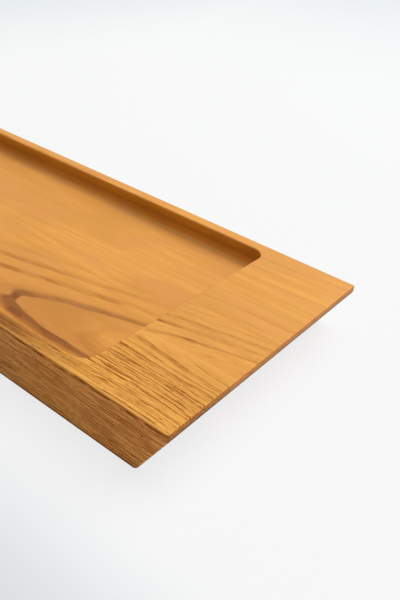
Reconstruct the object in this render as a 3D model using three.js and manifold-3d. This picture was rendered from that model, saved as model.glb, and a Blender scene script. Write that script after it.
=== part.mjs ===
// Oak tray: two staves edge-glued into one board, with a milled pocket, undercut ends and four inset pads.
// Millimetres, +Z up. The origin is on the table under the middle of the tray, +X along its length.
import * as THREE from "three";
import { mergeVertices } from "three/addons/utils/BufferGeometryUtils.js";
import Module from "manifold-3d";

// The board
const TRAY_LENGTH = 400;
const TRAY_WIDTH = 150;
const TRAY_THICKNESS = 27;
const FRONT_STAVE_WIDTH = 80; // the rear stave takes the rest of the width

// Edges: the long ones are eased with a sanding block, the ends a little more
const LONG_EDGE_RADIUS = 0.8;
const END_EDGE_SOFTENING = 0.2;
const END_EDGE_RADIUS = LONG_EDGE_RADIUS + END_EDGE_SOFTENING;

// Undercut ends: an upright nose under the top, then a slope back to the underside for the fingers
const NOSE_HEIGHT = 3.6;
const UNDERCUT_SETBACK = 13.4;
const UNDERCUT_FOOT_RADIUS = 2.5;

// The pocket, milled with a tray bit whose flat tip and rounded corner set the plan and floor radii
const POCKET_END_MARGIN = 50;
const POCKET_RIM = 7.5;
const POCKET_DEPTH = 10.5;
const POCKET_EDGE_RADIUS = 0.8;
const POCKET_COVE_RADIUS = 6;
const BIT_TIP_RADIUS = 2;
const POCKET_CORNER_RADIUS = POCKET_COVE_RADIUS + BIT_TIP_RADIUS;

// Anti-slip pads in shallow seats
const PAD_DIAMETER = 14;
const PAD_PROUD = 1.2;
const PAD_SEAT_DEPTH = 1.2;
const PAD_EDGE_RADIUS = 0.5;
const PAD_SEAT_CLEARANCE = 0.3; // between the pad's side and its seat
const PAD_END_INSET = 24; // pad centre from the end of the flat underside
const PAD_SIDE_INSET = 20; // pad centre from the long edge

// Fineness of the curves
const EDGE_STEPS = 4;
const COVE_STEPS = 10;
const CORNER_STEPS = 10;
const PAD_SIDES = 32;
const CUTTER_OVERRUN = 5; // how far a cutter reaches past the face that it opens

// Levels and reaches that follow from the sizes above
const UNDERSIDE_Z = PAD_PROUD;
const TOP_Z = UNDERSIDE_Z + TRAY_THICKNESS;
const POCKET_FLOOR_Z = TOP_Z - POCKET_DEPTH;
const HALF_LENGTH = TRAY_LENGTH / 2;
const HALF_WIDTH = TRAY_WIDTH / 2;
const UNDERSIDE_HALF_LENGTH = HALF_LENGTH - UNDERCUT_SETBACK;
const GLUE_LINE_Y = FRONT_STAVE_WIDTH - HALF_WIDTH;
const WELD_DISTANCE = 1e-3;

const wasm = await Module();
wasm.setup();

const OAK_FRONT = new THREE.MeshStandardMaterial({ color: 0xd8974c, roughness: 0.55, metalness: 0 });
const OAK_REAR = new THREE.MeshStandardMaterial({ color: 0xe0a257, roughness: 0.55, metalness: 0 });
const PAD_RUBBER = new THREE.MeshStandardMaterial({ color: 0x4a3b30, roughness: 0.85, metalness: 0 });

// Outline of a polygon, taken counter-clockwise, with each corner { x, y, radius } rounded by an arc of equal steps.
function filletedOutline(corners, steps) {
  return corners.flatMap((corner, i) => {
    const here = new THREE.Vector2(corner.x, corner.y);
    const before = corners[(i + corners.length - 1) % corners.length];
    const after = corners[(i + 1) % corners.length];
    const toBefore = new THREE.Vector2(before.x, before.y).sub(here).normalize();
    const toAfter = new THREE.Vector2(after.x, after.y).sub(here).normalize();
    const halfAngle = Math.acos(toBefore.dot(toAfter)) / 2;
    const centre = toBefore.clone().add(toAfter).normalize();
    centre.multiplyScalar(corner.radius / Math.sin(halfAngle)).add(here);
    const start = here.clone().addScaledVector(toBefore, corner.radius / Math.tan(halfAngle));
    const turn = (Math.PI - 2 * halfAngle) / steps;
    return Array.from({ length: steps + 1 }, (_, k) => start.clone().rotateAround(centre, k * turn));
  });
}

// Closed geometry through level outlines { z, points } with equal point counts, listed from the lowest to the highest.
function loft(sections) {
  const count = sections[0].points.length;
  const positions = sections.flatMap(({ z, points }) => points.flatMap((p) => [p.x, p.y, z]));
  const triangles = [];
  for (let s = 0; s + 1 < sections.length; s++) {
    for (let k = 0; k < count; k++) {
      const a = s * count + k;
      const b = s * count + ((k + 1) % count);
      triangles.push(a, b, b + count, a, b + count, a + count);
    }
  }
  const last = (sections.length - 1) * count;
  for (const [a, b, c] of THREE.ShapeUtils.triangulateShape(sections[0].points, [])) {
    triangles.push(a, c, b);
  }
  for (const [a, b, c] of THREE.ShapeUtils.triangulateShape(sections.at(-1).points, [])) {
    triangles.push(last + a, last + b, last + c);
  }
  const geometry = new THREE.BufferGeometry();
  geometry.setAttribute("position", new THREE.Float32BufferAttribute(positions, 3));
  geometry.setIndex(triangles);
  return geometry;
}

// A closed three.js geometry as a manifold solid.
function solidOf(geometry) {
  const bare = geometry.clone();
  bare.deleteAttribute("normal");
  bare.deleteAttribute("uv");
  const welded = mergeVertices(bare, WELD_DISTANCE);
  return new wasm.Manifold(
    new wasm.Mesh({
      numProp: 3,
      vertProperties: welded.attributes.position.array,
      triVerts: new Uint32Array(welded.index.array),
    }),
  );
}

// A manifold solid back as a three.js geometry.
function geometryOf(solid) {
  const mesh = solid.getMesh();
  const geometry = new THREE.BufferGeometry();
  geometry.setAttribute("position", new THREE.BufferAttribute(mesh.vertProperties, 3));
  geometry.setIndex(new THREE.BufferAttribute(mesh.triVerts, 1));
  geometry.computeVertexNormals();
  return geometry;
}

// The board before milling: its side profile, with undercut ends, drawn across the width with eased long edges.
function boardBlank() {
  const noseZ = TOP_Z - NOSE_HEIGHT;
  const end = END_EDGE_RADIUS;
  const foot = UNDERCUT_FOOT_RADIUS;
  const profile = filletedOutline(
    [
      { x: -UNDERSIDE_HALF_LENGTH, y: UNDERSIDE_Z, radius: foot },
      { x: UNDERSIDE_HALF_LENGTH, y: UNDERSIDE_Z, radius: foot },
      { x: HALF_LENGTH, y: noseZ, radius: end },
      { x: HALF_LENGTH, y: TOP_Z, radius: end },
      { x: -HALF_LENGTH, y: TOP_Z, radius: end },
      { x: -HALF_LENGTH, y: noseZ, radius: end },
    ],
    EDGE_STEPS,
  );
  const blank = new THREE.ExtrudeGeometry(new THREE.Shape(profile), {
    depth: TRAY_WIDTH - 2 * LONG_EDGE_RADIUS,
    bevelEnabled: true,
    bevelThickness: LONG_EDGE_RADIUS,
    bevelSize: LONG_EDGE_RADIUS,
    bevelOffset: -LONG_EDGE_RADIUS,
    bevelSegments: EDGE_STEPS,
  });
  blank.rotateX(Math.PI / 2).translate(0, HALF_WIDTH - LONG_EDGE_RADIUS, 0);
  return solidOf(blank);
}

// Plan outline of the pocket, grown outwards by `growth`.
function pocketOutline(growth) {
  const reachX = HALF_LENGTH - POCKET_END_MARGIN + growth;
  const reachY = HALF_WIDTH - POCKET_RIM + growth;
  const radius = POCKET_CORNER_RADIUS + growth;
  const corners = [
    { x: reachX, y: reachY, radius },
    { x: -reachX, y: reachY, radius },
    { x: -reachX, y: -reachY, radius },
    { x: reachX, y: -reachY, radius },
  ];
  return filletedOutline(corners, CORNER_STEPS);
}

// What the bit takes away: a flat floor, a cove up into upright walls, and an eased edge at the top.
function pocketCutter() {
  const sections = [];
  for (let k = 0; k <= COVE_STEPS; k++) {
    const turn = (k / COVE_STEPS) * (Math.PI / 2);
    sections.push({
      z: POCKET_FLOOR_Z + POCKET_COVE_RADIUS * (1 - Math.cos(turn)),
      points: pocketOutline(POCKET_COVE_RADIUS * (Math.sin(turn) - 1)),
    });
  }
  for (let k = 0; k <= EDGE_STEPS; k++) {
    const turn = (k / EDGE_STEPS) * (Math.PI / 2);
    sections.push({
      z: TOP_Z - POCKET_EDGE_RADIUS * (1 - Math.sin(turn)),
      points: pocketOutline(POCKET_EDGE_RADIUS * (1 - Math.cos(turn))),
    });
  }
  sections.push({ z: TOP_Z + CUTTER_OVERRUN, points: pocketOutline(POCKET_EDGE_RADIUS) });
  return solidOf(loft(sections));
}

// Pad centres, named by the corner that each one carries.
const PAD_X = UNDERSIDE_HALF_LENGTH - PAD_END_INSET;
const PAD_Y = HALF_WIDTH - PAD_SIDE_INSET;
const PAD_PLACES = [
  { name: "pad_front_left", x: -PAD_X, y: -PAD_Y },
  { name: "pad_front_right", x: PAD_X, y: -PAD_Y },
  { name: "pad_rear_left", x: -PAD_X, y: PAD_Y },
  { name: "pad_rear_right", x: PAD_X, y: PAD_Y },
];

// Round cutter for one pad's seat in the underside.
function padSeatCutter({ x, y }) {
  const seat = new THREE.CylinderGeometry(
    PAD_DIAMETER / 2 + PAD_SEAT_CLEARANCE,
    PAD_DIAMETER / 2 + PAD_SEAT_CLEARANCE,
    PAD_SEAT_DEPTH + CUTTER_OVERRUN,
    PAD_SIDES,
  );
  const middleZ = UNDERSIDE_Z + (PAD_SEAT_DEPTH - CUTTER_OVERRUN) / 2;
  return solidOf(seat.rotateX(Math.PI / 2).translate(x, y, middleZ));
}

// One pad: a flat disc with its lower rim rounded, standing from the table to the roof of its seat.
function padGeometry() {
  const radius = PAD_DIAMETER / 2;
  const profile = [new THREE.Vector2(0, 0)];
  for (let k = 0; k <= EDGE_STEPS; k++) {
    const turn = (k / EDGE_STEPS) * (Math.PI / 2);
    profile.push(
      new THREE.Vector2(
        radius - PAD_EDGE_RADIUS * (1 - Math.sin(turn)),
        PAD_EDGE_RADIUS * (1 - Math.cos(turn)),
      ),
    );
  }
  const roof = PAD_PROUD + PAD_SEAT_DEPTH;
  profile.push(new THREE.Vector2(radius, roof), new THREE.Vector2(0, roof));
  return geometryOf(solidOf(new THREE.LatheGeometry(profile, PAD_SIDES).rotateX(Math.PI / 2)));
}

// Box of room between two Y levels that holds the whole tray in the other directions.
function sliceBetween(lowY, highY) {
  const length = TRAY_LENGTH + 2 * CUTTER_OVERRUN;
  const height = TOP_Z + 2 * CUTTER_OVERRUN;
  const slice = new THREE.BoxGeometry(length, highY - lowY, height);
  return solidOf(slice.translate(0, (lowY + highY) / 2, TOP_Z / 2));
}

function namedMesh(name, geometry, material) {
  const mesh = new THREE.Mesh(geometry, material);
  mesh.name = name;
  return mesh;
}

// The staves are glued up first and milled as one board, so every cut runs through both of them.
let board = boardBlank().subtract(pocketCutter());
for (const place of PAD_PLACES) {
  board = board.subtract(padSeatCutter(place));
}
const frontStave = board.intersect(sliceBetween(-HALF_WIDTH - CUTTER_OVERRUN, GLUE_LINE_Y));
const rearStave = board.intersect(sliceBetween(GLUE_LINE_Y, HALF_WIDTH + CUTTER_OVERRUN));

const tray = new THREE.Group();
tray.add(namedMesh("front_stave", geometryOf(frontStave), OAK_FRONT));
tray.add(namedMesh("rear_stave", geometryOf(rearStave), OAK_REAR));
for (const { name, x, y } of PAD_PLACES) {
  const pad = namedMesh(name, padGeometry(), PAD_RUBBER);
  pad.position.set(x, y, 0);
  tray.add(pad);
}

export default tray;
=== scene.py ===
# %% [markdown]
# # An oak tray
# The tray is two oak staves glued edge to edge, milled as one board and stood on four small pads. The CAD
# model gives its sizes. Here each piece is modelled again with the soft edges and smooth shading that a
# picture needs, and then finished. Lengths are in metres, as in the frame, unless a name or a text says mm.

import contextlib
import math

import bmesh
import bpy
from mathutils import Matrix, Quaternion, Vector


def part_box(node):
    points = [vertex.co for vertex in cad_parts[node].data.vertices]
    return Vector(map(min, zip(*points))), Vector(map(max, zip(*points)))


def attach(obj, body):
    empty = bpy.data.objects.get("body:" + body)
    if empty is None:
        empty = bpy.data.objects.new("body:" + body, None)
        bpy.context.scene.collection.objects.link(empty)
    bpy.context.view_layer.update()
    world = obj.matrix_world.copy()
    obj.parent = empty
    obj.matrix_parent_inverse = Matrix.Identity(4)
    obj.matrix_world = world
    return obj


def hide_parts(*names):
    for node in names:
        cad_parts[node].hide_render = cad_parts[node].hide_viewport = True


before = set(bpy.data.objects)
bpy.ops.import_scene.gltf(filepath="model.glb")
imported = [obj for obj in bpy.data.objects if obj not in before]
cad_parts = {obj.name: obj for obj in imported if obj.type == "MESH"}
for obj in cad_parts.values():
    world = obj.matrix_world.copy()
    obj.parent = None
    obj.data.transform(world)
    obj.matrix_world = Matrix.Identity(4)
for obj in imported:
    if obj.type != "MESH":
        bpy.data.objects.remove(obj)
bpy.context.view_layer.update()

# %% [markdown]
# ## What the frame tells us
# The outer box of each stave gives the length, the width, the top, the underside and the glue line, so none
# of them is written twice. The remaining sizes belong to the milling and are named where they are used.

# %% Main levels
MM = 0.001
front_low, front_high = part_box("front_stave")
rear_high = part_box("rear_stave")[1]
half_length = front_high.x
half_width = rear_high.y
top_z = front_high.z
underside_z = front_low.z
glue_line_y = front_high.y
print(f"top {top_z / MM:.1f} mm, underside {underside_z / MM:.1f} mm, glue line {glue_line_y / MM:.1f} mm")

# %% [markdown]
# ## Camera
# The picture is taken from the front right, looking down at about 32 degrees, with the camera tipped a
# little to one side. Azimuth, elevation and roll describe that better than three Euler angles, so the
# rotation is built from them: first aim, then roll about the line of sight.

# %% Camera
VIEW_AZIMUTH = math.radians(33.03)
VIEW_ELEVATION = math.radians(32.48)
VIEW_ROLL = math.radians(8.17)
LENS_MM = 39.22
PAST_END = 94.3 * MM
BEFORE_FRONT = 137.5 * MM
ABOVE_TOP = 164.0 * MM
NEAREST_SEEN = 10 * MM
camera_place = Vector((half_length + PAST_END, -half_width - BEFORE_FRONT, top_z + ABOVE_TOP))
towards_camera = Vector(
    (
        math.sin(VIEW_AZIMUTH) * math.cos(VIEW_ELEVATION),
        -math.cos(VIEW_AZIMUTH) * math.cos(VIEW_ELEVATION),
        math.sin(VIEW_ELEVATION),
    )
)
aim = towards_camera.to_track_quat("Z", "Y") @ Quaternion((0, 0, 1), VIEW_ROLL)
bpy.ops.object.camera_add(location=camera_place, rotation=aim.to_euler())
camera = bpy.context.object
camera.data.lens = LENS_MM
camera.data.clip_start = NEAREST_SEEN
bpy.context.scene.camera = camera
print("camera at", [round(c, 3) for c in camera_place])

# %% [markdown]
# ## Small helpers for shader nodes
# A node tree is easier to read when each line says what goes into what. `feed` links a socket or sets a
# number, `calc` adds one Math node and returns its result, and `xyz` takes a vector apart. A socket knows
# which tree it is in, so most helpers needn't be told.

# %% Node helpers
def feed(socket, source):
    if isinstance(source, bpy.types.NodeSocket):
        socket.id_data.links.new(source, socket)
    else:
        socket.default_value = source


def add_node(tree, kind, label, *sources, **settings):
    """A new node with its settings. Its first inputs are fed in order."""
    node = tree.nodes.new(kind)
    node.label = label
    for name, value in settings.items():
        setattr(node, name, value)
    for socket, source in zip(node.inputs, sources):
        feed(socket, source)
    return node


def tree_of(*sources):
    return next(source.id_data for source in sources if isinstance(source, bpy.types.NodeSocket))


def calc(label, operation, *terms):
    return add_node(tree_of(*terms), "ShaderNodeMath", label, *terms, operation=operation).outputs[0]


def vector_calc(label, operation, *terms):
    node = add_node(tree_of(*terms), "ShaderNodeVectorMath", label, *terms, operation=operation)
    return node.outputs["Value" if operation == "LENGTH" else "Vector"]


def xyz(label, vector):
    return add_node(vector.id_data, "ShaderNodeSeparateXYZ", label, vector).outputs


print("node helpers ready")

# %% [markdown]
# A finish is mostly masks, which are 1 where something shows and 0 where it doesn't. `soft_step` makes a
# mask from a place, `between` turns a mask into a strength, `times` joins masks, and `blend` mixes two
# colours or numbers.

# %% Mask helpers
MIX_SOCKETS = {"FLOAT": ((0, 2, 3), 0), "RGBA": ((0, 6, 7), 2)}


def soft_step(label, value, start, end):
    """0 at start, 1 at end, eased in between. Start may be the larger one."""
    step = add_node(value.id_data, "ShaderNodeMapRange", label, value, start, end)
    step.interpolation_type = "SMOOTHSTEP"
    return step.outputs["Result"]


def between(label, mask, at_0, at_1):
    """A strength: at_0 where the mask is 0, at_1 where it is 1."""
    return calc(label, "MULTIPLY_ADD", mask, at_1 - at_0, at_0)


def times(label, *factors):
    """All factors multiplied. Of masks: 1 only where every one is 1."""
    product = factors[0]
    for factor in factors[1:]:
        product = calc(label, "MULTIPLY", product, factor)
    return product


def blend(label, amount, low, high, kind="RGBA", mode="MIX"):
    """From low to high by the amount. A Mix node has sockets of its own for each kind of value."""
    node = add_node(amount.id_data, "ShaderNodeMix", label, data_type=kind, blend_type=mode)
    numbers, result_number = MIX_SOCKETS[kind]
    for number, source in zip(numbers, (amount, low, high)):
        feed(node.inputs[number], source)
    return node.outputs[result_number]


print("mask helpers ready")

# %% [markdown]
# ## Table
# The tray stands on a plain white table.

# %% Table
TABLE_SIZE = 9
TABLE_GAP = 0.02 * MM
bpy.ops.object.select_all(action="DESELECT")
bpy.ops.mesh.primitive_plane_add(size=TABLE_SIZE, location=(0, 0, -TABLE_GAP))
table = bpy.context.object
table.name = "table"
print("table", [round(s, 1) for s in table.dimensions])

# %% [markdown]
# ## Table paint
# The table's paint holds painted shade. A painted shadow darkens it in front of the tray and lightens again
# further off, and painted shade falls off far behind and far to the left.

# %% Shades of the table
TABLE_WHITE = (0.93, 0.935, 0.94, 1)
TABLE_FRONT_SHADE = (0.68, 0.72, 0.745, 1)
TABLE_FAR_SHADE = (0.79, 0.83, 0.84, 1)
FRONT_SHADE_Y = (-0.09, -0.15)
FRONT_SHADE_ENDS_Y = (-0.45, -0.17)
FAR_BEHIND_Y = (0.4, 1.6)
FAR_LEFT_X = (-0.28, -0.66)


def new_material(name):
    """A new material, its node tree and the inputs of its shader."""
    material = bpy.data.materials.new(name)
    material.use_nodes = True
    return material, material.node_tree, material.node_tree.nodes["Principled BSDF"].inputs


table_paint, paint, _ = new_material("table_paint")
paint.nodes.clear()
place = add_node(paint, "ShaderNodeTexCoord", "place on the table").outputs["Object"]
table_x, table_y, _ = xyz("x, y, z", place)
# Painted shadow in front of the tray, which lightens again further off.
painted_shadow_in_front = times(
    "in front of the tray",
    soft_step("towards the viewer", table_y, *FRONT_SHADE_Y),
    soft_step("lighter further off", table_y, *FRONT_SHADE_ENDS_Y),
)
# Painted shade that falls off far behind and far to the left.
far_behind = soft_step("far behind", table_y, *FAR_BEHIND_Y)
far_left = soft_step("far to the left", table_x, *FAR_LEFT_X)
painted_falloff = calc("far off", "MAXIMUM", far_behind, far_left)
shade = blend("darker in front", painted_shadow_in_front, TABLE_WHITE, TABLE_FRONT_SHADE)
shade = blend("darker far off", painted_falloff, shade, TABLE_FAR_SHADE)
print("table shades:", len(paint.nodes), "nodes")

# %% [markdown]
# Paint alone would need more light to look this pale, and the tray would get that light too. So most of the
# white is the table's own, which also keeps the tray's shadow faint. Close to the strip lamp all of it is,
# or the lamp would draw a streak there.

# %% The table as it is seen
BY_STRIP_Y = (-0.5, -0.9)
OWN_SHARE = 0.85
own_white = add_node(paint, "ShaderNodeEmission", "own white", shade).outputs[0]
lit_paint = add_node(paint, "ShaderNodeBsdfDiffuse", "lit paint", TABLE_WHITE).outputs[0]
by_strip = soft_step("close to the strip", table_y, *BY_STRIP_Y)
share = between("all its own there", by_strip, OWN_SHARE, 1.0)
as_seen = add_node(paint, "ShaderNodeMixShader", "mostly its own white", share, lit_paint, own_white)
print("table as seen:", len(paint.nodes), "nodes")

# %% [markdown]
# That white mustn't light the tray. Light Path tells which rays see a surface, mirror it or look through
# something. They get the white. All others get plain paint, slightly warm, which keeps the tray's shaded
# sides from turning grey.

# %% The table for other rays
TABLE_BOUNCE = (0.92, 0.87, 0.78, 1)


def seen_rays(tree):
    """1 for rays that see, mirror or look through, 0 for rays that only carry light."""
    ray = add_node(tree, "ShaderNodeLightPath", "kind of ray").outputs
    seen = calc("seen or mirrored", "ADD", ray["Is Camera Ray"], ray["Is Glossy Ray"])
    seen = calc("or seen through", "ADD", seen, ray["Is Transmission Ray"])
    return calc("at most once", "MINIMUM", seen, 1.0)


bounce_paint = add_node(paint, "ShaderNodeBsdfDiffuse", "bounce paint", TABLE_BOUNCE).outputs[0]
by_ray = add_node(paint, "ShaderNodeMixShader", "by kind of ray", seen_rays(paint), bounce_paint)
feed(by_ray.inputs[2], as_seen.outputs[0])
add_node(paint, "ShaderNodeOutputMaterial", "table surface", by_ray.outputs[0])
table.data.materials.append(table_paint)
print("table paint:", len(paint.nodes), "nodes")

# %% [markdown]
# ## Lamps and backdrop
# Most of the light comes from a broad lamp above and the rest from one behind, so the top is bright and the
# front lies in its own shade. A low strip at the front lifts that shade a little and hardly reaches the
# pocket's floor. Area lamps are used because the size of a lamp decides how soft its shadows are.

# %% Lamps
def add_softbox(name, place, size, watts, colour=(1, 1, 1)):
    """A rectangular lamp that faces the middle of the tray and isn't seen itself."""
    bpy.ops.object.light_add(type="AREA", location=place)
    lamp = bpy.context.object
    lamp.name = name
    lamp.data.shape = "RECTANGLE"
    lamp.data.size, lamp.data.size_y = size
    lamp.data.energy = watts
    lamp.data.color = colour
    lamp.visible_camera = False
    lamp.rotation_euler = Vector(place).to_track_quat("Z", "Y").to_euler()


add_softbox("softbox_behind", place=(0.7, 1.9, 1.5), size=(1.8, 1.8), watts=36)
add_softbox("softbox_above", place=(0.3, 0.8, 2.2), size=(2.0, 2.0), watts=42)
add_softbox("strip_front", place=(0.2, -1.4, 0.045), size=(1.6, 0.08), watts=3.7, colour=(0.97, 1, 0.88))

# %% [markdown]
# The backdrop is only a colour. Where it is seen it is as pale as the far table, and otherwise it is a
# weak, warm fill light.

# %% Backdrop
SKY_LIGHT = (1.0, 0.97, 0.94, 1)
SKY_SEEN = (0.94, 0.988, 1.0, 1)
FILL_STRENGTH = 0.1
SEEN_STRENGTH = 0.84
world = bpy.data.worlds.new("studio")
bpy.context.scene.world = world
world.use_nodes = True
sky = world.node_tree
backdrop = sky.nodes["Background"].inputs
sky_seen = seen_rays(sky)
feed(backdrop["Strength"], between("pale where seen", sky_seen, FILL_STRENGTH, SEEN_STRENGTH))
feed(backdrop["Color"], blend("like the far table", sky_seen, SKY_LIGHT, SKY_SEEN))
bpy.context.scene.view_settings.view_transform = "Standard"
print("backdrop:", world.name)

# %% [markdown]
# ## Shaping by hand, in code
# Modelling operators work on what is selected. With no mouse, the selection is made by a rule: each vertex
# or edge is picked if a test on its place says so. All of it happens in edit mode, on the active piece.

# %% Shaping helpers
SAME_PLACE = 0.01 * MM


def near(a, b):
    return abs(a - b) < SAME_PLACE


def lies_at(edge, z):
    return all(near(vert.co.z, z) for vert in edge.verts)


def pick(kind, test):
    """In edit mode, select the verts or edges that pass the test, and count them."""
    mesh = bmesh.from_edit_mesh(bpy.context.object.data)
    bpy.ops.mesh.select_mode(type={"verts": "VERT", "edges": "EDGE"}[kind])
    bpy.ops.mesh.select_all(action="DESELECT")
    picked = 0
    for item in getattr(mesh, kind):
        if test(item):
            item.select_set(True)
            picked += 1
    mesh.select_flush_mode()
    bmesh.update_edit_mesh(bpy.context.object.data)
    return picked


@contextlib.contextmanager
def edit_mode():
    bpy.ops.object.mode_set(mode="EDIT")
    yield
    bpy.ops.object.mode_set(mode="OBJECT")


def bevel_edges(test, offset, segments):
    """In edit mode, bevel the edges that pass the test, and count them."""
    picked = pick("edges", test)
    bpy.ops.mesh.bevel(offset=offset, segments=segments, affect="EDGES")
    return picked


print("shaping helpers ready")

# %% [markdown]
# ## The blank
# The board starts as a block. A cut under the top marks the nose, and the underside is then drawn in at
# both ends, so that each end slopes back for the fingers. Moving the bottom edge of a block is simpler than
# a boolean, and it leaves clean quads.

# %% Block and undercut ends
NOSE_HEIGHT = 3.6 * MM
UNDERCUT_SETBACK = 13.4 * MM


def add_block(name, half_sizes, middle_z):
    """A block with its size and place in its mesh."""
    bpy.ops.object.select_all(action="DESELECT")
    bpy.ops.mesh.primitive_cube_add(size=2, location=(0, 0, middle_z))
    block = bpy.context.object
    block.name = name
    block.scale = half_sizes
    bpy.ops.object.transform_apply(location=True, rotation=False, scale=True)
    return block


board = add_block("board", (half_length, half_width, (top_z - underside_z) / 2), (top_z + underside_z) / 2)
nose_z = top_z - NOSE_HEIGHT
draw_in = (half_length - UNDERCUT_SETBACK) / half_length
with edit_mode():
    bpy.ops.mesh.select_all(action="SELECT")
    bpy.ops.mesh.bisect(plane_co=(0, 0, nose_z), plane_no=(0, 0, 1))
    pick("verts", lambda v: near(v.co.z, underside_z))
    bpy.ops.transform.resize(value=(draw_in, 1, 1), center_override=(0, 0, 0))
print("blank:", len(board.data.vertices), "vertices")

# %% [markdown]
# A bevel asks how far from the edge it starts, while a maker thinks of a radius. On an edge with inner
# angle a, a round of radius r starts r / tan(a / 2) away. The slope leans back about 29 degrees, so the
# foot edge, where it meets the underside, has 90 + 29 degrees inside.

# %% Rounded foot of each end
FOOT_RADIUS = 2.5 * MM
FOOT_SEGMENTS = 8
lean = math.atan2(UNDERCUT_SETBACK, nose_z - underside_z)
foot_start = FOOT_RADIUS / math.tan((math.pi / 2 + lean) / 2)


def is_foot(edge):
    across_board = abs(edge.verts[0].co.y - edge.verts[1].co.y) > half_width
    return across_board and lies_at(edge, underside_z)


with edit_mode():
    feet = bevel_edges(is_foot, foot_start, FOOT_SEGMENTS)
print(f"{feet} foot edges, slope leans back {math.degrees(lean):.0f} degrees")

# %% [markdown]
# All other edges are eased alike, as with a sanding block. They are found by the angle between their two
# faces, and bevelled in one go, so that Blender can make a proper round corner where three of them meet.

# %% Eased edges
EDGE_RADIUS = 0.8 * MM
EDGE_SEGMENTS = 5
EDGE_ANGLE = math.radians(20)
with edit_mode():
    eased = bevel_edges(lambda e: e.calc_face_angle() > EDGE_ANGLE, EDGE_RADIUS, EDGE_SEGMENTS)
print("edges eased:", eased, "faces now:", len(board.data.polygons))

# %% [markdown]
# ## The pocket
# A tray bit with a rounded corner mills the pocket, which leaves a cove between the wall and the floor. The
# cutter here is what the bit takes away: a plate with rounded corners, drawn up past the top, with its
# lower edge bevelled to the cove.

# %% Pocket cutter
POCKET_END_MARGIN = 50 * MM
POCKET_RIM = 7.5 * MM
POCKET_DEPTH = 10.5 * MM
COVE_RADIUS = 6 * MM
COVE_SEGMENTS = 14
BIT_TIP_RADIUS = 2 * MM
CORNER_SEGMENTS = 16
floor_z = top_z - POCKET_DEPTH
pocket_half = (half_length - POCKET_END_MARGIN, half_width - POCKET_RIM, POCKET_DEPTH)


def stands_up(edge):
    return abs(edge.verts[0].co.z - edge.verts[1].co.z) > POCKET_DEPTH


cutter = add_block("pocket_cutter", pocket_half, floor_z + POCKET_DEPTH)
with edit_mode():
    bevel_edges(stands_up, COVE_RADIUS + BIT_TIP_RADIUS, CORNER_SEGMENTS)
    bevel_edges(lambda e: lies_at(e, floor_z), COVE_RADIUS, COVE_SEGMENTS)
print("pocket cutter:", len(cutter.data.polygons), "faces")

# %% [markdown]
# A boolean takes the cutter's shape out of the board. Inset and extrude could sink the top face instead,
# but then the corners and the cove would have to be shaped inside the board, where they are harder to pick.

# %% Cut the pocket
def only_select(piece):
    bpy.ops.object.select_all(action="DESELECT")
    piece.select_set(True)
    bpy.context.view_layer.objects.active = piece


def cut_out(board, cutter):
    """Take the cutter's shape out of the board, and remove the cutter."""
    cut = board.modifiers.new("cut", "BOOLEAN")
    cut.operation = "DIFFERENCE"
    cut.solver = "EXACT"
    cut.object = cutter
    only_select(board)
    bpy.ops.object.modifier_apply(modifier=cut.name)
    bpy.data.objects.remove(cutter)


cut_out(board, cutter)
print("board with pocket:", len(board.data.polygons), "faces")

# %% [markdown]
# The bit leaves a sharp edge at the top of the wall, which is eased like the outer edges. It is found by
# its place: it lies level with the top and has an upright face on one side.

# %% Ease the pocket's top edge
WALL_TILT = 0.1


def on_pocket_edge(edge):
    return lies_at(edge, top_z) and any(abs(face.normal.z) < WALL_TILT for face in edge.link_faces)


with edit_mode():
    eased = bevel_edges(on_pocket_edge, EDGE_RADIUS, EDGE_SEGMENTS)
print("pocket edge pieces eased:", eased)

# %% [markdown]
# ## Seats for the pads
# Each pad sits in a shallow round seat in the underside, a little wider than the pad. The pads' own boxes
# say where.

# %% Pad seats
SEAT_CLEARANCE = 0.3 * MM
SEAT_DEPTH = 1.2 * MM
ROUND_SIDES = 64
PADS = ["pad_front_left", "pad_front_right", "pad_rear_left", "pad_rear_right"]


def add_disc(middle, radius, height):
    """A disc with its place in its mesh."""
    bpy.ops.object.select_all(action="DESELECT")
    bpy.ops.mesh.primitive_cylinder_add(vertices=ROUND_SIDES, radius=radius, depth=height, location=middle)
    bpy.ops.object.transform_apply(location=True, rotation=False, scale=True)
    return bpy.context.object


for name in PADS:
    low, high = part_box(name)
    middle = (low + high) / 2
    seat_radius = (high.x - low.x) / 2 + SEAT_CLEARANCE
    cut_out(board, add_disc((middle.x, middle.y, underside_z), seat_radius, 2 * SEAT_DEPTH))
print("board with seats:", len(board.data.polygons), "faces")

# %% [markdown]
# ## Two staves
# The board is cut along the glue line with bisect, once for each side, and the cut face is filled. What the
# two staves share, pocket, edges and ends, then matches exactly.

# %% Split at the glue line
def copy_of(piece, name):
    """A copy with a mesh of its own."""
    only_select(piece)
    bpy.ops.object.duplicate()
    copy = bpy.context.object
    copy.name = copy.data.name = name
    return copy


def split_off(board, name, keep_front):
    """A copy of the board that keeps only the front or the rear of the glue line."""
    stave = copy_of(board, name)
    with edit_mode():
        bpy.ops.mesh.select_all(action="SELECT")
        bpy.ops.mesh.bisect(
            plane_co=(0, glue_line_y, 0),
            plane_no=(0, 1, 0),
            use_fill=True,
            clear_outer=keep_front,
            clear_inner=not keep_front,
        )
    return stave


front_stave = split_off(board, "front_stave_wood", True)
rear_stave = split_off(board, "rear_stave_wood", False)
bpy.data.objects.remove(board)
print("staves:", len(front_stave.data.polygons), "and", len(rear_stave.data.polygons), "faces")

# %% [markdown]
# Smooth shading lets the eased edges look round. Large flat faces beside small rounds would then show false
# gradients, so the normals are weighted by face area, which keeps the flats flat.

# %% Shading of the staves
SHARP_ANGLE = math.radians(35)


def shade_round(piece):
    only_select(piece)
    bpy.ops.object.shade_smooth_by_angle(angle=SHARP_ANGLE)
    weigh = piece.modifiers.new("weigh", "WEIGHTED_NORMAL")
    weigh.keep_sharp = True
    bpy.ops.object.modifier_apply(modifier=weigh.name)


for stave in (front_stave, rear_stave):
    shade_round(stave)
print("shaded", front_stave.name, rear_stave.name)

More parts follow.
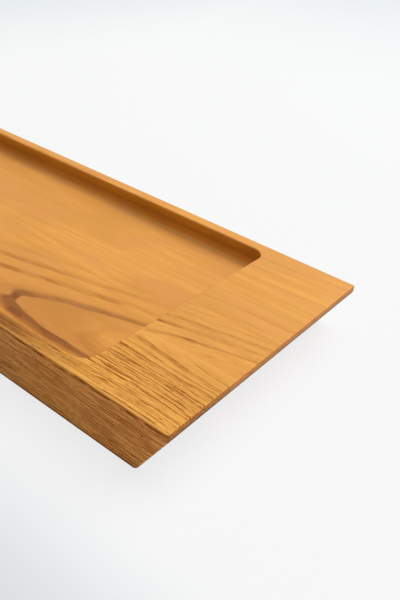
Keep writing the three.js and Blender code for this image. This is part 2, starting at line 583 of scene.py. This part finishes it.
# %% [markdown]
# ## Pads
# A pad is a flat rubber disc with a rounded lower rim. One is modelled in place and then copied to all four
# corners.

# %% One pad
PAD_RIM_RADIUS = 0.5 * MM
first_low, first_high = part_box(PADS[0])
pad_place = (first_low + first_high) / 2
first_pad = add_disc(pad_place, (first_high.x - first_low.x) / 2, first_high.z - first_low.z)
with edit_mode():
    bevel_edges(lambda e: lies_at(e, first_low.z), PAD_RIM_RADIUS, EDGE_SEGMENTS)
shade_round(first_pad)
print("pad:", len(first_pad.data.polygons), "faces")

# %% [markdown]
# Each copy is moved to its corner. The move is applied, so that every pad's object stays at the origin, as
# a CAD node's does, and the rubber's pattern stays in place.

# %% Four pads
pads = []
for name in PADS:
    low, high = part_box(name)
    pad = copy_of(first_pad, name + "_rubber")
    pad.location = (low + high) / 2 - pad_place
    bpy.ops.object.transform_apply(location=True, rotation=False, scale=False)
    pads.append(pad)
bpy.data.objects.remove(first_pad)
print("pads:", [pad.name for pad in pads])

# %% [markdown]
# ## Finishes from node groups
# Both staves are oak, so the oak is built once, as node groups with named sockets, and placed in each
# material with its own values. `new_group` makes an empty group, and `place_group` puts one to use.

# %% Group helpers
def floats(*names):
    return dict.fromkeys(names, "Float")


def named(sockets, *names):
    return {name: sockets[name] for name in names}


def new_group(name, inputs, outputs):
    """An empty shader node group. Returns its tree, and its inputs and outputs by name."""
    tree = bpy.data.node_groups.new(name, "ShaderNodeTree")
    for in_out, sockets in (("INPUT", inputs), ("OUTPUT", outputs)):
        for socket, kind in sockets.items():
            tree.interface.new_socket(socket, in_out=in_out, socket_type="NodeSocket" + kind)
    given = tree.nodes.new("NodeGroupInput").outputs
    return tree, given, tree.nodes.new("NodeGroupOutput").inputs


def place_group(tree, group, label, values):
    """Put a group into a tree, feed its inputs by name, and return its outputs."""
    node = add_node(tree, "ShaderNodeGroup", label)
    node.node_tree = bpy.data.node_groups[group]
    for name, source in values.items():
        feed(node.inputs[name], source)
    return node.outputs


print("group helpers ready")

# %% [markdown]
# ## Where in the tree?
# Wood figure is growth rings cut by a plane. Every point of a stave once had a place in the trunk, and the
# rings there are slightly conical, because a trunk tapers. A flat cut through a cone gives the flame
# figure. So the first group turns a point of the stave into a distance from the pith, in mm, less the
# taper. A slow noise moves the point a little first, because no tree grows ruler-straight, and the vessels
# follow it less. Rings, vessels and fibres are all drawn from this one place in the trunk, so they run on
# round every edge.

# %% Place in the trunk
TRUNK_VALUES = ("Axis Y", "Axis Lean", "Axis Sway", "Pith Distance", "Taper")
MM_PER_METRE = (1000, 1000, 1000)
WANDER_CELLS_PER_MM = (0.007, 0.028, 0.028)
WANDER_MM = (0, 6, 1.5)
VESSEL_SHARE = (0, 0.4, 0.4)


def noise(label, place, scale, detail):
    node = add_node(place.id_data, "ShaderNodeTexNoise", label)
    for name, source in (("Vector", place), ("Scale", scale), ("Detail", detail)):
        feed(node.inputs[name], source)
    return node.outputs


tree, given, result = new_group(
    "trunk_place", floats(*TRUNK_VALUES), {"Grown": "Vector", **floats("Out", "Flat", "Slope")}
)
place = add_node(tree, "ShaderNodeTexCoord", "place on the stave").outputs["Object"]
place_mm = vector_calc("in mm", "MULTIPLY", place, MM_PER_METRE)
stretched = vector_calc("stretched", "MULTIPLY", place_mm, WANDER_CELLS_PER_MM)
slow = noise("slow wander", stretched, 1.0, 2.0)["Color"]
centred = vector_calc("centred", "SUBTRACT", slow, (0.5, 0.5, 0.5))
wander = vector_calc("wander in mm", "MULTIPLY", centred, WANDER_MM)
straighter = vector_calc("vessels wander less", "MULTIPLY", wander, VESSEL_SHARE)
feed(result["Grown"], vector_calc("vessels as grown", "ADD", place_mm, straighter))
x, y, z = xyz("x, y, z", vector_calc("rings as grown", "ADD", place_mm, wander))
print("trunk_place:", len(tree.nodes), "nodes")

# %% [markdown]
# The pith line sways gently along the stave. `across` is how far a point lies to one side of it, and
# `below` how far under it. Their length is the distance from the pith, and taking off a share of x for the
# taper makes cones. `Flat` is 1 where the ring lies along the tray's floor, and `Slope` says how fast a
# level cut crosses the rings.

# %% Across, below and out
SWAY_LENGTH_MM = 280
SWAY_START_MM = 115
RING_DROP = 0.63


def length_of(label, x, y):
    step = add_node(x.id_data, "ShaderNodeCombineXYZ", label + ", both ways", x, y)
    return vector_calc(label, "LENGTH", step.outputs["Vector"])


swing = calc("from sway start", "SUBTRACT", x, SWAY_START_MM)
swing = calc("as angle", "MULTIPLY", swing, 2 * math.pi / SWAY_LENGTH_MM)
swing = calc("swing", "SINE", swing)
axis = calc("swayed", "MULTIPLY_ADD", swing, given["Axis Sway"], given["Axis Y"])
axis = calc("leaned", "MULTIPLY_ADD", x, given["Axis Lean"], axis)
across = calc("across", "SUBTRACT", y, axis)
depth = calc("below floor level", "SUBTRACT", floor_z / MM, z)
below = calc("below pith", "MULTIPLY_ADD", depth, RING_DROP, given["Pith Distance"])
radius = length_of("distance from pith", across, below)
taken = calc("taper so far", "MULTIPLY", x, given["Taper"])
steep = calc("across the rings", "DIVIDE", across, radius)
feed(result["Out"], calc("out", "SUBTRACT", radius, taken))
feed(result["Flat"], calc("how flat the ring lies", "DIVIDE", below, radius))
feed(result["Slope"], length_of("slope", steep, given["Taper"]))
print("trunk_place:", len(tree.nodes), "nodes")

# %% [markdown]
# ## Growth rings
# The distance from the pith, divided by the ring spacing, gives the ring's number. Its whole part is the
# year, and the rest is how far that year has gone. A little noise makes the rings waver. One wet year is
# darkest, and draws the flame. After it the tree stood freer, and its rings are wider.

# %% Ring number
RING_VALUES = ("Ring Spacing", "Ring Shift", "Dark Year")
WAVER_CELL_MM = (16, 8, 8)
WAVER_MM = 0.9
WIDER_RINGS = 1.67
AT_ONCE = 0.01


def drawn_out_noise(label, place, cell_mm, detail=2.0):
    """Noise drawn out along the trunk. The cell is its length, width and height in mm."""
    drawn_out = vector_calc(label + " drawn out", "DIVIDE", place, cell_mm)
    return noise(label, drawn_out, 1.0, detail)["Fac"]


tree, given, result = new_group(
    "growth_rings",
    {"Grown": "Vector", **floats("Out", "Slope", *RING_VALUES, "Band")},
    floats("Early", "Year", "Dark", "Heart", "Near"),
)
waver = drawn_out_noise("waver", given["Grown"], WAVER_CELL_MM)
wavering = calc("wavering", "MULTIPLY_ADD", waver, WAVER_MM, given["Out"])
rings = calc("ring number", "DIVIDE", wavering, given["Ring Spacing"])
rings = calc("shifted", "ADD", rings, given["Ring Shift"])
later = calc("after the dark year", "SUBTRACT", rings, given["Dark Year"])
later = calc("only after it", "MAXIMUM", later, 0.0)
rings = calc("wider rings from then on", "MULTIPLY_ADD", later, 1 / WIDER_RINGS - 1, rings)
wider = between("times wider", soft_step("wider", later, 0.0, AT_ONCE), 1.0, WIDER_RINGS)
print("ring number:", len(tree.nodes), "nodes")

# %% [markdown]
# Each year starts with a band of wide vessels, which is darker, and fades to dense pale wood. Where the cut
# follows the ring, a year looks wide, so what has grown is divided by the slope. That keeps the band `Band`
# mm wide.

# %% Early wood
SPRING_SHARE = 0.18
SUMMER_SHARE = 0.55
phase = calc("through the year", "FRACT", rings)
grown_mm = times("grown this year", phase, given["Ring Spacing"], wider)
seen_mm = calc("as wide on the cut", "DIVIDE", grown_mm, given["Slope"])
spring_ends = calc("spring is short", "MULTIPLY", given["Band"], SPRING_SHARE)
summer_starts = calc("past half the band", "MULTIPLY", given["Band"], SUMMER_SHARE)
spring = soft_step("spring", seen_mm, 0.0, spring_ends)
summer = soft_step("into summer", seen_mm, given["Band"], summer_starts)
feed(result["Early"], times("early wood", spring, summer))
print("early wood:", len(tree.nodes), "nodes")

# %% [markdown]
# Years differ, so each gets a random strength. Three masks follow from the years since the dark one: that
# year itself, the heart inside it, and how near a year is to it. Years inside it are fainter.

# %% Years
DARK_STARTS = (-0.3, -0.05)
DARK_ENDS = (0.6, 0.15)
HEART_STARTS = (-1.6, -0.7)
YEARS_AROUND = (4.5, 1.5)
YEARS_INSIDE = (-0.85, -0.15)
FAINTEST_INSIDE = 0.35


def luck_of(label, number):
    """A random value between 0 and 1 for each whole number."""
    luck = add_node(number.id_data, "ShaderNodeTexWhiteNoise", label, noise_dimensions="1D")
    feed(luck.inputs["W"], calc(label + " number", "FLOOR", number))
    return luck.outputs["Value"]


feed(result["Year"], luck_of("this year", rings))
since = calc("years since the dark one", "SUBTRACT", rings, given["Dark Year"])
starting = soft_step("dark year starts", since, *DARK_STARTS)
ending = soft_step("dark year ends", since, *DARK_ENDS)
feed(result["Dark"], times("dark", starting, ending))
heart = soft_step("years before it", since, *HEART_STARTS)
feed(result["Heart"], times("heart", heart, ending))
around = soft_step("years around it", calc("either way", "ABSOLUTE", since), *YEARS_AROUND)
inside = soft_step("fainter inside it", since, *YEARS_INSIDE)
inside = between("never quite gone", inside, FAINTEST_INSIDE, 1.0)
feed(result["Near"], times("near", around, inside))
print("growth_rings:", len(tree.nodes), "nodes")

# %% [markdown]
# ## Vessels
# The open vessels of oak show as fine dark dashes. Voronoi cells stretched along the trunk give one thin
# dash per cell. The group is placed twice, with long cells for the wide vessels and short ones for fine
# pores.

# %% Vessels
CORE_SHARE = 0.45
tree, given, result = new_group(
    "vessels", {"Grown": "Vector", "Cell": "Vector", "Width": "Float"}, floats("Mask")
)
dash = add_node(tree, "ShaderNodeTexVoronoi", "one dash per cell")
feed(dash.inputs["Vector"], vector_calc("in cells", "DIVIDE", given["Grown"], given["Cell"]))
feed(dash.inputs["Scale"], 1.0)
core = calc("core", "MULTIPLY", given["Width"], CORE_SHARE)
inside = soft_step("inside the vessel", dash.outputs["Distance"], given["Width"], core)
luck = add_node(tree, "ShaderNodeSeparateColor", "luck of the cell", dash.outputs["Color"]).outputs["Red"]
feed(result["Mask"], times("vessel", inside, luck))
print("vessels:", len(tree.nodes), "nodes")

# %% [markdown]
# ## Rows of vessels
# Within a year the vessels stand in rows, which follow the ring on the flat of the board and lie one above
# the other on its sides. The rows waver a little, and break off where their vessels run out, on the sides
# more often. Where the cut runs along a ring, no row crosses it, so none shows.

# %% Where rows run
ROW_PITCH_MM = 1.9
ROW_HEIGHT_MM = 1.0
ROW_WAVER_CELL_MM = (34, 5, 4)
ROW_WAVER = 1.1
BREAK_CELL_MM = (13, 1.6, 0.8)
WHOLE_FROM_TO = (0.4, 0.56)
CROSSED_FROM_TO = (0.05, 0.35)
tree, given, result = new_group(
    "vessel_rows", {"Grown": "Vector", **floats("Out", "Slope", "Upright")}, floats("Rows", "Hairs")
)
row = calc("rows on the flat", "DIVIDE", given["Out"], ROW_PITCH_MM)
grown_z = xyz("as grown", given["Grown"])["Z"]
row = calc("and on the side", "MULTIPLY_ADD", grown_z, 1 / ROW_HEIGHT_MM, row)
waver = drawn_out_noise("waver", given["Grown"], ROW_WAVER_CELL_MM)
row = calc("wavering", "MULTIPLY_ADD", waver, ROW_WAVER, row)
breaks = drawn_out_noise("breaks", given["Grown"], BREAK_CELL_MM)
whole = soft_step("whole", breaks, *WHOLE_FROM_TO)
broken = between("more broken on the sides", given["Upright"], 0.45, 0.15)
whole = blend("never quite gone", whole, broken, 1.0, kind="FLOAT")
crossed = soft_step("where the cut crosses them", given["Slope"], *CROSSED_FROM_TO)
whole = times("crossed", whole, crossed)
print("rows placed:", len(tree.nodes), "nodes")

# %% [markdown]
# Each row has its own strength. On the sides the rows are broader, softer and more alike. Between them run
# finer hairs, unevenly spaced.

# %% Rows and hairs
HAIRS_PER_ROW = 2.3
HAIR_FROM_TO = (0.2, 0.42)
UNEVENNESS = 1.8


def row_lines(label, row, start, full, weakest):
    """1 along the middle of each row, times a strength of its own for each."""
    to_and_fro = calc(label + " to and fro", "PINGPONG", row, 0.5)
    line = soft_step(label, to_and_fro, start, full)
    strength = blend(label + " strength", luck_of(label, row), weakest, 1.0, kind="FLOAT")
    return times(label + " shown", line, strength)


weakest = between("weakest row", given["Upright"], 0.15, 0.55)
start = between("broader on the sides", given["Upright"], 0.29, 0.11)
full = between("and softer", given["Upright"], 0.44, 0.37)
rows = row_lines("row", row, start, full, weakest)
feed(result["Rows"], times("rows", rows, whole))
uneven = calc("unevenly spaced", "MULTIPLY", breaks, UNEVENNESS)
fine_row = calc("finer rows", "MULTIPLY_ADD", row, HAIRS_PER_ROW, uneven)
hairs = row_lines("hair", fine_row, *HAIR_FROM_TO, weakest)
feed(result["Hairs"], times("hairs", hairs, whole))
print("vessel_rows:", len(tree.nodes), "nodes")

# %% [markdown]
# ## Oak
# The oak group brings these together and gives a colour, a roughness and a height. It first asks where on
# the tray a point lies and which way its face looks. The milled floor of the pocket is scraped smooth,
# which matters to much that follows.

# %% Oak: place and direction
tree, given, result = new_group(
    "oak",
    floats(*TRUNK_VALUES, *RING_VALUES, "Ring Strength", "Vessel Strength"),
    {"Colour": "Color", "Roughness": "Float", "Height": "Float"},
)
here = add_node(tree, "ShaderNodeTexCoord", "place and direction").outputs
here_x, here_y, here_z = xyz("place", here["Object"])
facing_x, _, facing_up = xyz("direction", here["Normal"])
end_on = calc("along the trunk", "ABSOLUTE", facing_x)
upright = soft_step("on the sides", facing_up, 0.6, 0.2)
level = soft_step("on the flat", facing_up, 0.5, 0.9)
scraped = times(
    "scraped smooth",
    soft_step("down in the pocket", here_z, top_z - 1 * MM, floor_z + 1 * MM),
    soft_step("behind the rim", here_y, 1 * MM - half_width, POCKET_RIM / 2 - half_width),
)
print("oak, place:", len(tree.nodes), "nodes")

# %% [markdown]
# Then the point is placed in the trunk, and the rings and vessels are drawn there. The bands of early wood
# look widest on the scraped floor, and narrower on its inner side.

# %% Oak: figure
TOP_BAND_MM = 2.8
FLOOR_BAND_MM = 7.2
NARROWER_MM = 2.2
WIDE_VESSELS = {"Cell": (14, 0.7, 0.5), "Width": 0.26}
FINE_PORES = {"Cell": (3.5, 0.6, 0.5), "Width": 0.34}
inner_side = soft_step("away from the front", here_y, -0.62 * half_width, -0.48 * half_width)
inner_floor = times("inner part of the floor", inner_side, scraped)
band = between("wider bands on the floor", scraped, TOP_BAND_MM, FLOOR_BAND_MM)
band = calc("narrower there", "MULTIPLY_ADD", inner_floor, -NARROWER_MM, band)
trunk = place_group(tree, "trunk_place", "place in the trunk", named(given, *TRUNK_VALUES))
grown = trunk["Grown"]
in_trunk = named(trunk, "Grown", "Out", "Slope")
ring = place_group(tree, "growth_rings", "rings", {**in_trunk, **named(given, *RING_VALUES), "Band": band})
vessel = place_group(tree, "vessel_rows", "rows of vessels", {**in_trunk, "Upright": upright})
wide = place_group(tree, "vessels", "wide vessels", {"Grown": grown, **WIDE_VESSELS})
fine = place_group(tree, "vessels", "fine pores", {"Grown": grown, **FINE_PORES})
print("oak, figure:", len(tree.nodes), "nodes")

# %% [markdown]
# How open the grain is depends on the place too: most along the front edge and at the right end, least on
# the scraped floor.

# %% Oak: open grain
open_edge = soft_step("open grain at the front", here_y, -0.4 * half_width, -0.82 * half_width)
off_right = soft_step("away from the right end", here_x, 0.75 * half_length, 0.4 * half_length)
open_grain = times(
    "open grain",
    between("never closed", open_edge, 0.25, 1.1),
    between("mostly closed on the floor", scraped, 1.0, 0.2),
    between("calmer to the left", off_right, 1.0, 0.65),
)
print("oak, open grain:", len(tree.nodes), "nodes")

# %% [markdown]
# Vessels, rows, hairs and fine pores add up to one mask of dark pores. The sides are sanded less, so they
# show more fine pores and fewer hairs, but a little softer.

# %% Oak: vessels
ROW_WEIGHT = 0.9
crowd = between("more in early wood", ring["Early"], 0.45, 0.8)
pores = times("wide vessels shown", wide["Mask"], crowd)
pores = calc("with rows", "MULTIPLY_ADD", vessel["Rows"], ROW_WEIGHT, pores)
few = between("fewer hairs on the sides", upright, 1.05, 0.45)
pores = calc("with hairs", "MULTIPLY_ADD", vessel["Hairs"], few, pores)
many = between("more fine pores on the sides", upright, 0.65, 1.4)
pores = calc("with fine pores", "MULTIPLY_ADD", fine["Mask"], many, pores)
rough_side = between("sides less sanded", upright, 1.0, 1.35)
pores = times("where open", pores, open_grain, rough_side, given["Vessel Strength"])
pores = calc("at most full", "MINIMUM", pores, 1.0)
softer = between("softer on the sides", upright, 1.0, 0.84)
pores = times("vessels", pores, softer)
print("oak, vessels:", len(tree.nodes), "nodes")

# %% [markdown]
# A broken dark line runs just under the front's top edge, dull and sunk like the pores. It is drawn by its
# place, because the edge and not the ring decides where it lies.

# %% Oak: line under the front's top edge
def noise_mask(label, place, cell_mm, start, end, detail=2.0):
    """A mask of patches drawn out along the trunk."""
    patchy = drawn_out_noise(label + " noise", place, cell_mm, detail)
    return soft_step(label, patchy, start, end)


edge_line = times(
    "line under the edge",
    noise_mask("broken line", grown, cell_mm=(9, 3, 3), start=0.36, end=0.56),
    soft_step("below the top edge", here_z, top_z - 0.6 * MM, top_z - 1.0 * MM),
    soft_step("thin", here_z, top_z - 2.4 * MM, top_z - 1.4 * MM),
    soft_step("front face", here_y, 1.2 * MM - half_width, 0.4 * MM - half_width),
)
pores = calc("with the line", "MAXIMUM", pores, edge_line)
print("oak, line:", len(tree.nodes), "nodes")

# %% [markdown]
# ## Rings that show
# On the floor, the years near the dark one show as brown bands, which run out on the inner side at the
# right. The dark year draws the flame there. The middle of its inner arm is fainter.

# %% Oak: rings on the floor
right_end = soft_step("right end of the pocket", here_x, 0.55 * half_length, 0.7 * half_length)
right_inner = times("inner side at the right", inner_side, right_end)
by_year = between("ring by year", ring["Year"], 0.46, 0.76)
bands_end = between("bands run out there", right_inner, 1.0, 0.4)
ring_dark = times("bands", by_year, ring["Near"], bands_end)
mid_arm = calc("middle of one arm", "SUBTRACT", inner_side, right_inner)
fainter = between("dark year, fainter there", mid_arm, 0.6, 0.03)
ring_dark = calc("dark year", "MULTIPLY_ADD", ring["Dark"], fainter, ring_dark)
ring_dark = times("on the milled floor", ring_dark, scraped)
print("oak, floor rings:", len(tree.nodes), "nodes")

# %% [markdown]
# On the top, rings only show where the cut crosses them well and the wood is old enough. They are drawn in
# dashes on the front half and as soft strokes on the rear, and fade before the rear edge.

# %% Oak: rings on the top
OLD_ENOUGH_MM = (-4.5, -2.0)
on_top = calc("on the top", "MULTIPLY_ADD", scraped, -1.0, level)
dashed = noise_mask("dashes", grown, cell_mm=(7, 0.6, 0.5), start=0.36, end=0.6)
dashed = between("dashed in part", dashed, 0.4, 1.3)
front_half = soft_step("front half", here_y, 0.3 * half_width, -0.05 * half_width)
ring_top = times(
    "rings on top",
    on_top,
    between("ring by its year", ring["Year"], 0.35, 1.0),
    soft_step("crossed well", trunk["Slope"], 0.08, 0.3),
    soft_step("old enough", trunk["Out"], *OLD_ENOUGH_MM),
    soft_step("before the rear edge", here_y, 0.97 * half_width, 0.88 * half_width),
    blend("dashed at the front", front_half, 1.0, dashed, kind="FLOAT"),
)
print("oak, top rings:", len(tree.nodes), "nodes")

# %% [markdown]
# Everywhere, rings show in patches, the dark year more steadily, and best where the cut runs along them.

# %% Oak: how much rings show
STEADINESS = 0.9
patches = noise_mask("patches", grown, cell_mm=(22, 6, 6), start=0.3, end=0.65)
patches = between("patches in part", patches, 0.45, 1.25)
steady = calc("dark year steadier", "MULTIPLY", ring["Dark"], STEADINESS)
patches = calc("patches or dark year", "MAXIMUM", patches, steady)
lying_from = between("further out on the floor", scraped, 0.6, 0.3)
lying = soft_step("cut along the ring", trunk["Flat"], lying_from, 0.9)
lying = between("never gone", lying, 0.2, 1.0)
shown = times("rings shown", given["Ring Strength"], ring["Early"], patches, lying)
ring_dark = times("floor rings shown", ring_dark, shown)
ring_top = times("top rings shown", ring_top, shown)
print("oak, rings:", len(tree.nodes), "nodes")

# %% [markdown]
# ## Colour of the wood
# The ground is pale oak with honey fibres, deeper patches and a rosy mottle. Colours are written as a
# picture editor shows them.

# %% Oak: ground
def srgb(red, green, blue):
    """Turn a picture editor's colour into the linear values that shaders use."""
    shares = [c / 255 for c in (red, green, blue)]
    return (*(((c + 0.055) / 1.055) ** 2.4 if c > 0.04 else c / 12.92 for c in shares), 1)


PALE_WOOD = srgb(237, 169, 84)
HONEY_WOOD = srgb(224, 153, 70)
DEEP_HONEY = srgb(214, 147, 68)
ROSY_WOOD = srgb(224, 153, 84)
PATCH_SHARE = 0.7
fibres = noise_mask("fibres", grown, cell_mm=(60, 4, 2.2), start=0.3, end=0.7, detail=4.0)
deeper = noise_mask("deeper patches", grown, cell_mm=(70, 26, 26), start=0.42, end=0.66)
mottle = noise_mask("mottle", grown, cell_mm=(38, 16, 16), start=0.4, end=0.7, detail=3.0)
colour = blend("pale and honey", fibres, PALE_WOOD, HONEY_WOOD)
deeper = times("deeper in part", deeper, PATCH_SHARE)
colour = blend("with deeper patches", deeper, colour, DEEP_HONEY)
mottle = times("mottle in part", mottle, PATCH_SHARE)
colour = blend("mottled", mottle, colour, ROSY_WOOD)
print("pale wood, linear:", [round(c, 3) for c in PALE_WOOD])

# %% [markdown]
# Between open pores the late wood is dense and golden. A brown streak runs along the front edge and runs
# out to the right. The heart of the flame is a deeper brown, except for its inner half at the right.

# %% Oak: dense wood, streak and heart
DENSE_GOLD = srgb(253, 187, 86)
STREAK_BROWN = srgb(150, 92, 38)
HEART_WOOD = srgb(192, 127, 62)
DENSE_SHARE = 0.55
HEART_SHARE = 0.65
dense = times("dense wood in open grain", open_grain, level, DENSE_SHARE)
front_streak = times(
    "front streak",
    soft_step("streak at the front edge", here_y, -0.84 * half_width, -0.96 * half_width),
    soft_step("runs out to the right", here_x, 0.8 * half_length, 0.5 * half_length),
    between("most on the rim", level, 0.3, 0.9),
)
inner_half = soft_step("inner half", here_y, -0.72 * half_width, -0.6 * half_width)
inner_half = times("inner half at the right", inner_half, right_end)
paler = between("paler there", inner_half, 1.0, 0.25)
heart = times("heart", ring["Heart"], HEART_SHARE, lying, paler)
colour = blend("with dense wood", dense, colour, DENSE_GOLD)
colour = blend("with front streak", front_streak, colour, STREAK_BROWN)
colour = blend("with heart", heart, colour, HEART_WOOD)
print("oak, dense wood to heart:", len(tree.nodes), "nodes")

# %% [markdown]
# Bands of early wood are painted over that. Pores and the rings on top drink the oil, so they darken what
# is there instead: a tint is multiplied, and the wood keeps its warmth.

# %% Oak: rings and pores
EARLY_WOOD = srgb(140, 84, 38)
BAND_BROWN = srgb(158, 84, 12)
VESSEL_TINT = srgb(158, 110, 24)
RING_OIL = 1.15
ring_colour = blend("plain or dark year", ring["Dark"], BAND_BROWN, EARLY_WOOD)
colour = blend("with rings", ring_dark, colour, ring_colour)
oiled = calc("rings on top drink oil", "MULTIPLY_ADD", ring_top, RING_OIL, pores)
oiled = calc("at most full", "MINIMUM", oiled, 1.0)
colour = blend("with pores", oiled, colour, VESSEL_TINT, mode="MULTIPLY")
print("oak, rings and pores:", len(tree.nodes), "nodes")

# %% [markdown]
# ## Ends, edges and hollows
# End grain drinks more oil and is darker. It is found by its direction: it faces along the trunk. The long
# outer edges get a painted highlight, a paler colour where light catches them. They are neither upright nor
# flat.

# %% Oak: end grain and painted edge highlights
END_GRAIN_TINT = srgb(232, 220, 202)
EDGE_HIGHLIGHT = srgb(248, 182, 90)
end_grain = soft_step("end grain", end_on, 0.25, 0.9)
colour = blend("end grain darker", end_grain, colour, END_GRAIN_TINT, mode="MULTIPLY")
off_middle = calc("off the middle", "ABSOLUTE", here_y)
# A painted highlight: the long outer edges are paler where light catches them.
painted_highlight = times(
    "rubbed edge",
    soft_step("turning up", facing_up, 0.65, 0.85),
    soft_step("not yet flat", facing_up, 0.995, 0.95),
    soft_step("along the grain", end_on, 0.3, 0.1),
    soft_step("outer edge", off_middle, half_width - 2.5 * MM, half_width - 1.5 * MM),
)
colour = blend("with rubbed edges", painted_highlight, colour, EDGE_HIGHLIGHT)
print("oak, ends and edges:", len(tree.nodes), "nodes")

# %% [markdown]
# The cove gets painted shade, a deeper colour where the far wall shades it, on the steep wall a little
# more.

# %% Oak: painted shade in the cove
COVE_SHADE = srgb(255, 246, 200)
WALL_SHADE = srgb(236, 244, 186)
off_centre = calc("off the centre", "ABSOLUTE", here_x)
in_cove = times(
    "in the cove",
    soft_step("off the floor", facing_up, 0.97, 0.7),
    soft_step("below the top", here_z, top_z - 0.3 * MM, top_z - 1.5 * MM),
    soft_step("above the floor", here_z, floor_z - 0.5 * MM, floor_z - 0.1 * MM),
    soft_step("inside the rims", off_middle, half_width - 2 * MM, half_width - 4 * MM),
    soft_step("inside the ends", off_centre, half_length - 20 * MM, half_length - 30 * MM),
)
steep_wall = soft_step("on the wall", facing_up, 0.5, 0.1)
cove_shade = blend("cove or wall", steep_wall, COVE_SHADE, WALL_SHADE)
# Painted shade, multiplied into the cove and, a little more, into the steep wall.
colour = blend("deeper in the cove", in_cove, colour, cove_shade, mode="MULTIPLY")
print("oak, cove:", len(tree.nodes), "nodes")

# %% [markdown]
# The lower edges get painted shade where they face down: close to the table and low on the nose of each
# end. The flat underside stays as it is.

# %% Oak: painted shade at the lower edges
LOWER_EDGE_SHADE = srgb(104, 76, 56)
NOSE_SHARE = 0.65
on_nose = soft_step("on the nose", here_z, nose_z - 0.9 * MM, nose_z - 0.5 * MM)
nose_low = times(
    "lower half of the nose",
    soft_step("low on the nose", here_z, nose_z + 1.3 * MM, nose_z + 0.3 * MM),
    times("in part", on_nose, NOSE_SHARE),
    soft_step("faces the end", end_on, 0.5, 0.8),
)
# Painted shade on the edges close to the table and low on the nose.
lower = soft_step("close to the table", here_z, underside_z + 1.6 * MM, underside_z + 0.7 * MM)
lower = calc("or low on the nose", "MAXIMUM", lower, nose_low)
lower = times("lower edge", lower, soft_step("not yet under", facing_up, -0.995, -0.95))
# The painted shade is multiplied into the lower edges.
colour = blend("oil gathered below", lower, colour, LOWER_EDGE_SHADE, mode="MULTIPLY")
print("oak, lower edges:", len(tree.nodes), "nodes")

# %% [markdown]
# Open pores are duller than the satin oil around them, and they are sunk, so the same mask gives the
# roughness and the height.

# %% Oak: outputs
SATIN = 0.46
DULL = 0.71
feed(result["Colour"], colour)
feed(result["Roughness"], between("duller in vessels", pores, SATIN, DULL))
feed(result["Height"], calc("vessels sunk", "MULTIPLY", pores, -1.0))
print("oak:", len(tree.nodes), "nodes")

# %% [markdown]
# ## Finish of the two staves
# Both staves use the same group, each with its own place in a trunk. The front one is cut close to the pith
# and shows the flame. The rear one is cut further out, so its lines run nearly straight. In each pair of
# values the front stave comes first, and lengths are in mm.

# %% Stave materials
STAVE_VALUES = {
    "Axis Y": (-52.4, 100.0),
    "Axis Lean": (0.1, 0.1),
    "Axis Sway": (3.0, 3.0),
    "Pith Distance": (20.5, 50.0),
    "Taper": (0.1, 0.01),
    "Ring Spacing": (4.45, 9.0),
    "Ring Shift": (1.23, 0.3),
    "Dark Year": (4.0, 40.0),
    "Ring Strength": (0.9, 0.6),
    "Vessel Strength": (0.95, 0.22),
}
GRAIN_DEPTH = 0.12 * MM
GRAIN_STRENGTH = 0.6
OIL_GLOSS = 0.11


def dress(piece, finish):
    piece.data.materials.clear()
    piece.data.materials.append(finish)
    print("finished:", piece.name, "with", finish.name)


def oak_material(name, values):
    material, nodes, shader = new_material(name)
    oak = place_group(nodes, "oak", "oak", values)
    grain = add_node(nodes, "ShaderNodeBump", "open grain", GRAIN_STRENGTH, GRAIN_DEPTH)
    feed(grain.inputs["Height"], oak["Height"])
    feed(shader["Base Color"], oak["Colour"])
    feed(shader["Roughness"], oak["Roughness"])
    feed(shader["Normal"], grain.outputs["Normal"])
    feed(shader["Specular IOR Level"], OIL_GLOSS)
    return material


for stave, name, column in ((front_stave, "flame_oak", 0), (rear_stave, "straight_oak", 1)):
    dress(stave, oak_material(name, {value: pair[column] for value, pair in STAVE_VALUES.items()}))

# %% [markdown]
# ## Rubber
# The pads are dark brown rubber with a dusty mottling, matt all over. One fine noise gives the dust, the
# roughness and the moulded skin.

# %% Pad rubber
RUBBER = srgb(62, 49, 40)
DUSTY_RUBBER = srgb(96, 80, 66)
DUST_CELLS_PER_METRE = 900.0
DUST_DETAIL = 5.0
SKIN_DEPTH = 0.03 * MM
MATT = 0.7
DUSTY_MATT = 0.9
pad_rubber, nodes, shader = new_material("pad_rubber")
place = add_node(nodes, "ShaderNodeTexCoord", "place on the pad").outputs["Object"]
dust = noise("dust", place, DUST_CELLS_PER_METRE, DUST_DETAIL)["Fac"]
skin = add_node(nodes, "ShaderNodeBump", "moulded skin")
feed(skin.inputs["Distance"], SKIN_DEPTH)
feed(skin.inputs["Height"], dust)
feed(shader["Base Color"], blend("dusty", dust, RUBBER, DUSTY_RUBBER))
feed(shader["Roughness"], between("matt", dust, MATT, DUSTY_MATT))
feed(shader["Normal"], skin.outputs["Normal"])
for pad in pads:
    dress(pad, pad_rubber)

# %% [markdown]
# ## Handing over
# Each piece rides on the frame's one body and stands for its CAD node.

# %% Ride and replace
for piece, node, slot in (
    (front_stave, "front_stave", "oak_front"),
    (rear_stave, "rear_stave", "oak_rear"),
    *((pad, name, "pad_rubber") for pad, name in zip(pads, PADS)),
):
    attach(piece, "root")
    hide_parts(node)
